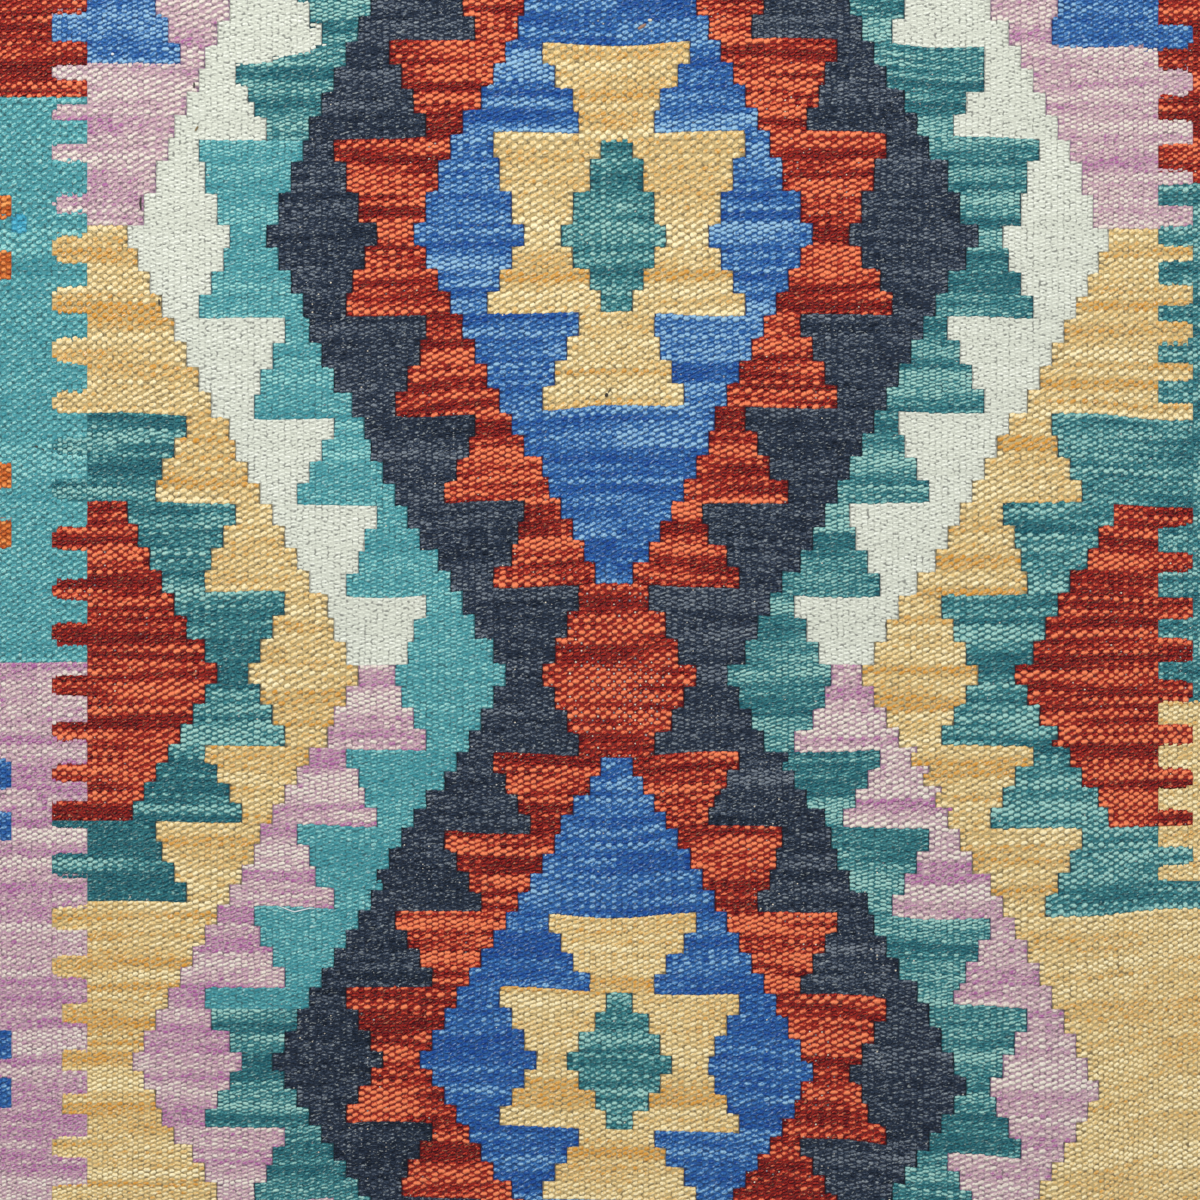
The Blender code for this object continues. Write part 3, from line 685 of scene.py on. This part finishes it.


# Wool: dark to light by shade and mixed fibres, with a painted highlight on the crests by height; painted
# shade down the sides of a float, the pit colour creeping up them, with small specks of painted shade there;
# odd lighter fibres; a bump from the fibres.
def woolMaterial(name, yarn):
    material, shader, start = newMaterial("wool_" + name)
    shade = start.add("ShaderNodeAttribute", {"attribute_name": "shade"}, out=2)
    rise = start.add("ShaderNodeAttribute", {"attribute_name": "rise"}, out=2)
    place = start.add("ShaderNodeTexCoord", out=3)
    twist = {"Vector": place, "Rotation": (0, 0, 0.15 + 1.2 * yarn["lean"]),
             "Scale": (fineness["length"], 1, 1)}
    ply = place.add("ShaderNodeMapping", {"vector_type": "TEXTURE"}, twist)
    fibre, strand = ply.noise(fineness["fibre"]), ply.noise(fineness["strand"])
    mixed = fibre.span(0.3, 0.7) * 0.45 + strand.span(0.32, 0.68) * 0.55 - 0.5
    odd = ply.noise(fineness["odd"], 1.0).span(0.6, 0.7) * yarn["flecked"]
    # specks of painted shade: the pit colour in spots low on a float's sides
    shadeSpeck = place.noise(fineness["shadeSpeck"], 1.0).span(0.58, 0.68) * rise.span(0.6, 0.1)
    tone = shade + mixed * (1.3 * yarn["heather"]) + (place.noise(fineness["cloud"], 3.0) - 0.5) * 0.14
    # painted highlight: the crests lighter, the low sides a little darker, by height
    tone = tone + (rise.span(0.35, 0.95) - 0.35) * (2 * yarn["crestHighlight"])
    body = tone.span(0.0, 0.5).mix(colour(yarn["dark"]), colour(yarn["mid"]))
    body = tone.span(0.5, 1.0).mix(body, colour(yarn["light"]))
    body = odd.mix(body, colour(yarn["fleck"]))
    # painted shade: toward the pit colour down the sides, into the creases between floats
    base = (rise.span(0.0, 0.45) * yarn["creviceShade"] + (1 - yarn["creviceShade"])).mix(colour(yarn["pit"]), body)
    base = (shadeSpeck * 0.55).mix(base, colour(yarn["pit"]))
    start.fill(shader, {"Base Color": base, "Roughness": yarn["rough"] - 0.12 * fibre,
                        "Normal": mixed.bump(0.0004), "Specular IOR Level": yarn["gloss"],
                        "Sheen Weight": yarn["sheen"], "Sheen Roughness": 0.5})
    return material


# The ground under the floats: the warps and hidden weft in shade, tinted by the area above it, with
# near-black blotches painted as the shade in small holes.
def groundMaterial():
    material, shader, start = newMaterial("wool_ground")
    tint = start.add("ShaderNodeAttribute", {"attribute_name": "tint"}, out=0)
    place = start.add("ShaderNodeTexCoord", out=3)
    fibre = place.noise(1500)
    base = (1 - place.noise(520, 1.0).span(0.5, 0.65) * 0.6).mix(colour("#1E1F24"), tint)
    start.fill(shader, {"Base Color": base, "Roughness": 0.96 - 0.1 * fibre, "Normal": fibre.bump(0.0003),
                        "Specular IOR Level": 0.1})
    return material


def addPiece(mesh, material):
    mesh.materials.append(material)
    piece = bpy.data.objects.new(mesh.name, mesh)
    bpy.context.scene.collection.objects.link(piece)
    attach(piece, "root")
    return piece


floatSize = dict(
    reach=0.74,            # how far a float reaches along its pick, in parts of the warps' pitch
    coarseReach=0.06,      # what coarse picks add to it
    unevenReach=0.3,       # how far it strays, in parts of itself
    slit=0.57,             # the reach to where a float turns back at a slit
    unevenSlit=0.12,
    bentCorner=0.68,       # what the corner of a step keeps of its reach
    thick=1.1,             # half its thickness, in parts of the picks' pitch
    coarseThick=-0.22,
    filling=0.35,          # how much of a gap left open at an edge it fills
    uneven=0.35,           # how far thickness and height stray, in parts of themselves
    turn=0.55,             # how far its lean strays
    high=0.66,             # its height, in parts of the yarn's own
    coarseHigh=0.14,
)


# The length, thickness and height of each float from the pitch of warps and picks, with a little
# unevenness. At a colour's edge along a warp it ends square, where the yarn turns back.
def sizeFloats(f):
    seed, size = cloth["seed"], floatSize
    halfWidth, halfLength = cloth["width"] / 2, cloth["length"] / 2
    uneven = [scatter(f["c"], f["p"], seed + i) - 0.5 for i in range(6)]
    coarse = np.clip((f["gap"] - 1.25) / 0.6, 0, 1)      # 0 for picks under 1.25 mm, 1 over 1.85
    f["x"] = f["x"] + 0.5 * uneven[0] + 0.4 * wander(f["c"] / 2.3, f["row"] * 1.7, seed)
    reach = (size["reach"] + size["coarseReach"] * coarse) * f["apart"]
    reach = reach * (1 + size["unevenReach"] * uneven[1])
    slit = size["slit"] + 0.07 * wander(f["c"] / 1.7, f["row"] * 2.1, seed + 9)
    slit = slit * f["apart"] * (1 + size["unevenSlit"] * uneven[1])
    corner = f["alone"] & f["edge"].any(0)      # where the next pick pulls a step's corner in
    bent = np.where(corner, size["bentCorner"], 1.0)
    f["west"] = np.minimum(np.where(f["alone"][0], slit, reach), f["x"] + halfWidth) * bent[0]
    f["east"] = np.minimum(np.where(f["alone"][1], slit, reach), halfWidth - f["x"]) * bent[1]
    f["squareWest"] = np.where(f["alone"][0], 0.7, 0.44 + 0.2 * uneven[2])
    f["squareEast"] = np.where(f["alone"][1], 0.7, 0.44 - 0.2 * uneven[2])
    open = f["open"] * np.where(f["alone"].any(0), 0.0, size["filling"])
    thick = (size["thick"] + size["coarseThick"] * coarse) * (1 + size["uneven"] * uneven[3])
    f["half"] = f["gap"] * (thick + open.sum(0))
    pulled = 0.25 * corner.any(0) * (f["edge"][0] * 1.0 - f["edge"][1])
    f["down"] = f["down"] + f["gap"] * (0.4 * uneven[2] + open[1] - open[0] + pulled)
    f["half"] = np.minimum(f["half"], halfLength - np.abs(f["down"]))
    lean = np.where(f["alone"].any(0), 0.05, f["lean"] * (0.4 + 0.6 * coarse))
    f["turn"] = np.arctan(lean - f["slope"] + size["turn"] * uneven[4])
    f["foot"] = np.full(len(f["x"]), cloth["groundTop"] - 0.06)
    rise = (cloth["ridge"] - cloth["groundTop"]) * (size["high"] + size["coarseHigh"] * coarse) * f["proud"]
    f["top"] = f["foot"] + rise * (1 + size["uneven"] * uneven[5])


# The ground: a closed slab, its top and underside the same grid, with lines midway between warps and three
# to a row. Its tint is the area's yarn darkened toward the pit colour as painted shade, and darker still
# along the warps where two areas meet, painted as the shadow in the slit the cloth has there.
def groundMesh(warps):
    halfWidth, halfLength = cloth["width"] / 2, cloth["length"] / 2
    columns = np.concatenate([[-halfWidth], (warps[1:] + warps[:-1]) / 2, [halfWidth]])
    x, row = np.meshgrid(columns, np.arange(-32, 150) / 3)
    down = downAt(x, row)
    keep = (down.max(1) > -halfLength) & (down.min(1) < halfLength)
    first, last = np.flatnonzero(keep)[[0, -1]]
    x, row, down = x[first:last + 1], row[first:last + 1], down[first:last + 1]
    down[0], down[-1] = -halfLength, halfLength
    down = np.clip(down, -halfLength, halfLength)
    rows, cols = x.shape
    top = np.stack([x, -down, np.full(x.shape, cloth["groundTop"])], 2)
    under = top * [1, 1, 0] + [0, 0, cloth["groundBottom"]]
    at = np.arange(rows * cols).reshape(rows, cols)
    upper = np.stack([at[:-1, :-1], at[1:, :-1], at[1:, 1:], at[:-1, 1:]], 2).reshape(-1, 4)
    lower = upper[:, ::-1] + rows * cols
    rim = np.concatenate([at[0, :], at[1:, -1], at[-1, -2::-1], at[-2:0:-1, 0]])
    after = np.roll(rim, -1)
    walls = np.stack([rim, after, after + rows * cols, rim + rows * cols], 1)
    faces = np.concatenate([upper, lower, walls])
    points = np.concatenate([top.reshape(-1, 3), under.reshape(-1, 3)])
    mesh = bpy.data.meshes.new("ground")
    mesh.from_pydata(points * mm, [], faces)
    middle = points[upper].mean(1)
    area = chartAt(middle[:, 0], row.ravel()[upper].mean(1), -middle[:, 1])
    pits, mids = (np.array([colour(yarns[zone["yarn"]][key]) for zone in zones.values()])[area]
                  for key in ("pit", "mid"))
    area = area.reshape(rows - 1, cols - 1)
    field = np.abs(middle[:, 0].reshape(area.shape)) < cloth["field"]
    # painted shade: beside a slit the pit colour darkened, elsewhere half pit and half mid colour
    west, east = field & (area != np.roll(area, 1, 1)), field & (area != np.roll(area, -1, 1))
    slit = np.stack([west, west, east, east], 2).reshape(-1, 4, 1)
    tints = np.where(slit, (pits * [0.75, 0.75, 0.75, 1])[:, None], (0.5 * pits + 0.5 * mids)[:, None])
    tints = tints.reshape(-1, 4)
    tints = np.concatenate([tints, tints, np.tile(colour(cloth["cutEdge"]), (4 * len(walls), 1))])
    attribute = mesh.attributes.new("tint", "FLOAT_COLOR", "CORNER")
    attribute.data.foreach_set("color", tints.astype(np.float32).ravel())
    flatMap(mesh, points[faces.ravel(), :2])
    return mesh


warps = warpPlaces()
print("warps:", len(warps))
ground = addPiece(groundMesh(warps), groundMaterial())
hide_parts("woven_panel")
print("ground:", len(ground.data.polygons), "faces")

wool = {name: woolMaterial(name, yarn) for name, yarn in yarns.items()}


# The parts' floats joined, without those whose middle is within a millimetre of the cut.
def gathered(parts):
    f = {key: np.concatenate([part[key] for part in parts], axis=-1) for key in parts[0]}
    inside = (np.abs(f["down"]) < cloth["length"] / 2 - 1) & (np.abs(f["x"]) < cloth["width"] / 2 - 1)
    return {key: values[..., inside] for key, values in f.items()}


# All the floats of one yarn, from each area that it weaves.
def gatherFloats(yarnName, odd, coarser):
    parts = []
    for zoneName in zones:
        if zones[zoneName]["yarn"] == yarnName:
            f = floatsOf(zoneName, warps, odd, coarser)
            f["shade"] = shadeOf(zoneName, f)
            f["proud"], f["lean"] = (np.full(len(f["x"]), yarns[yarnName][key]) for key in ("proud", "lean"))
            parts.append(f)
    f = gathered(parts)
    sizeFloats(f)
    return f


# Where the warps show: some of the sites between floats, thickest in patches, and at an area's upper or
# lower edge. Where they show often, they are larger and paler.
def gatherWarps():
    parts = []
    for zoneName, zone in zones.items():
        if zone["bare"] > 0:
            f = floatsOf(zoneName, warps, 1)
            patch = np.clip(0.4 * zone["bare"] + wander(f["x"] / 16, f["down"] / 22, 5), 0, 1)
            chance = zone["bare"] * np.maximum(patch, 0.9 * f["edge"].any(0))
            kept = scatter(f["c"], f["p"], 6) < chance
            f["often"] = np.full(len(f["x"]), zone["bare"] ** 2)
            parts.append({key: f[key][..., kept] for key in ("c", "p", "x", "down", "often")})
    f = gathered(parts)
    size = scatter(f["c"], f["p"], 8)
    f["west"] = f["east"] = 0.45 + 0.4 * size + 0.2 * f["often"]
    f["half"], f["turn"] = 0.4 + 0.35 * size + 0.3 * f["often"], 0.5 * size
    f["shade"] = 0.05 + 0.9 * scatter(f["c"], f["p"], 9) ** (2 - 1.4 * f["often"])
    return f


wefts, total = [], 0
for yarnName in yarns:
    face, back = gatherFloats(yarnName, 0, 1.0), gatherFloats(yarnName, 1, 1.9)
    tents = tentPoints(back, cloth["groundBottom"] + 0.1, cloth["backRidge"])
    groups = [(facePoints(face), faceShape, faceRise, face["shade"]),
              (tents, backShape, tentRise, back["shade"])]
    wefts.append(addPiece(joinBodies("weft_" + yarnName, groups), wool[yarnName]))
    faces, backs = len(face["x"]), len(back["x"])
    total += 12 * faces + 6 * backs
    print("weft", yarnName, faces, "face and", backs, "back floats,", 12 * faces + 6 * backs, "triangles")
print("triangles in the floats:", total)

warpYarn = yarnOf("#5A6068", "#96989A", "#E0D4BC", "#5A5850", "#E8E6E0", creviceShade=0.2, crestHighlight=0.1, heather=0.4,
                  flecked=0.1, proud=0, lean=0.3, rough=0.9, sheen=0.05)
showing = gatherWarps()
tents = tentPoints(showing, cloth["groundTop"] - 0.06, cloth["groundTop"] + 0.42)
warpMesh = joinBodies("warp", [(tents, warpShape, tentRise, showing["shade"])])
wefts.append(addPiece(warpMesh, woolMaterial("warp", warpYarn)))
print("warps showing:", len(tents), "with", 6 * len(tents), "triangles")

# Loose fibres and specks lying on the face, and dark strokes that are painted shade in short open slits: the
# photo's pixels that each runs through, its colour and its thickness in mm.
lintAndSlitShade = [
    (((279, 906), (286, 909), (294, 912), (303, 910), (311, 908), (315, 909)), "#D9DFE2", 0.6),
    (((638, 29), (641, 27), (646, 24)), "#8C6A58", 1.7),
    (((648, 20), (652, 20)), "#C9C0AA", 1.5),
    (((195, 131), (198, 126)), "#7A6644", 1.1),
    (((606, 397), (607, 393)), "#17120D", 1.9),
    (((608, 393), (611, 388)), "#3A3020", 0.7),
    (((111, 54), (114, 54)), "#CDD4D8", 1.4),
    # the next four are painted shade: dark strokes where short slits open at steps
    (((141, 197), (140, 203), (141, 210)), "#2B2722", 1.2),
    (((194, 82), (194, 88)), "#2B2722", 1.0),
    (((159, 299), (159, 305)), "#2B2722", 1.0),
    (((886, 622), (886, 629)), "#3A342C", 0.8),
    (((35, 446), (38, 447)), "#2A3638", 1.2),
    (((42, 449), (44, 450)), "#2A3638", 1.0),
]


# Closed four-sided strands: twelve places evenly along each path, the radius falling to a third at the
# ends by sqrt(1 - (2t - 1)^2).
def lintAndSlitShadeMesh():
    points, faces, tints = [], [], []
    count = 12
    last = 4 * count - 4
    t = np.linspace(0, 1, count)
    corner = np.arange(last)
    after = corner // 4 * 4 + (corner + 1) % 4
    sides = np.stack([corner, after, after + 4, corner + 4], 1)
    caps = np.array([[3, 2, 1, 0], [last, last + 1, last + 2, last + 3]])
    for through, tint, thick in lintAndSlitShade:
        path = (np.array(through) - photoMiddle) * [photoRow, -photoRow]
        length = np.concatenate([[0], np.cumsum(np.hypot(*np.diff(path, axis=0).T))])
        x, y = (np.interp(t * length[-1], length, path[:, i]) for i in (0, 1))
        along = np.stack([np.gradient(x), np.gradient(y)], 1)
        side = along[:, ::-1] * [-1, 1] / np.hypot(*along.T)[:, None]
        radius = thick / 2 * (1 / 3 + 2 / 3 * np.sqrt(1 - (2 * t - 1) ** 2))
        middle = np.stack([x, y, np.full(count, cloth["groundTop"] + 0.5)], 1)
        across = np.concatenate([side * radius[:, None], np.zeros((count, 1))], 1)
        up = np.stack([0 * t, 0 * t, np.minimum(radius, 0.3)], 1)
        faces.append(np.concatenate([sides, caps]) + 4 * count * len(points))
        corners = np.stack([middle + across, middle + up, middle - across, middle - up], 1)
        points.append(corners.reshape(-1, 3))
        tints.append(np.tile(colour(tint), (4 * count, 1)))
    mesh = bpy.data.meshes.new("lintAndSlitShade")
    mesh.from_pydata(np.concatenate(points) * mm, [], np.concatenate(faces))
    tints = np.concatenate(tints).astype(np.float32)
    mesh.attributes.new("tint", "FLOAT_COLOR", "POINT").data.foreach_set("color", tints.ravel())
    return mesh


# The loose fibres' wool, also on the strokes of painted slit shade: its tint mixed toward grey by fibre
# noise.
def lintAndSlitShadeMaterial():
    material, shader, start = newMaterial("fibre_loose_and_slit_shade")
    tint = start.add("ShaderNodeAttribute", {"attribute_name": "tint"}, out=0)
    fibre = start.add("ShaderNodeTexCoord", out=3).noise(1500)
    base = (fibre * 0.3).mix(tint, colour("#6E6A62"))
    start.fill(shader, {"Base Color": base, "Roughness": 0.85, "Specular IOR Level": 0.1})
    return material


wefts.append(addPiece(lintAndSlitShadeMesh(), lintAndSlitShadeMaterial()))
print("lint:", len(lintAndSlitShade), "strands")

# Stage: a pale floor, a broad soft light from the upper left and an even grey surround. The camera looks
# straight down from its distance over the cloth.
studio = dict(floor="#D8D6D2", surround="#F2F4F6", brightness=0.8, lens=85, sensor=36, distance=1.615)
lights = dict(key=dict(size=1.3, power=68, place=(-0.75, 1.75, 1.95)),
              fill=dict(size=1.0, power=7, place=(1.5, 0.2, 1.4)))

bpy.ops.mesh.primitive_plane_add(size=12, location=(0, 0, -0.0005))
floor = bpy.context.object
floor.name = "floor"
floorMaterial, floorShader, start = newMaterial("floor_paint")
start.fill(floorShader, {"Base Color": colour(studio["floor"]), "Roughness": 0.9})
floor.data.materials.append(floorMaterial)

world = bpy.data.worlds.new("studio")
bpy.context.scene.world = world
world.use_nodes = True
background = world.node_tree.nodes["Background"]
background.inputs["Color"].default_value = colour(studio["surround"])
background.inputs["Strength"].default_value = studio["brightness"]

for name, lamp in lights.items():
    light = bpy.data.lights.new(name, "AREA")
    light.shape, light.size, light.energy = "SQUARE", lamp["size"], lamp["power"]
    lightObject = bpy.data.objects.new(name, light)
    lightObject.location = lamp["place"]
    lightObject.rotation_euler = (-lightObject.location).to_track_quat("-Z", "Y").to_euler()
    bpy.context.scene.collection.objects.link(lightObject)

camera = bpy.data.objects.new("camera", bpy.data.cameras.new("camera"))
camera.data.lens, camera.data.sensor_width = studio["lens"], studio["sensor"]
camera.location = (0, 0, studio["distance"] + cloth["ridge"] * mm)
camera.data.dof.use_dof = False
bpy.context.scene.collection.objects.link(camera)
bpy.context.scene.camera = camera
bpy.context.scene.view_settings.view_transform = "Standard"
print("stage, lights and camera are in place")
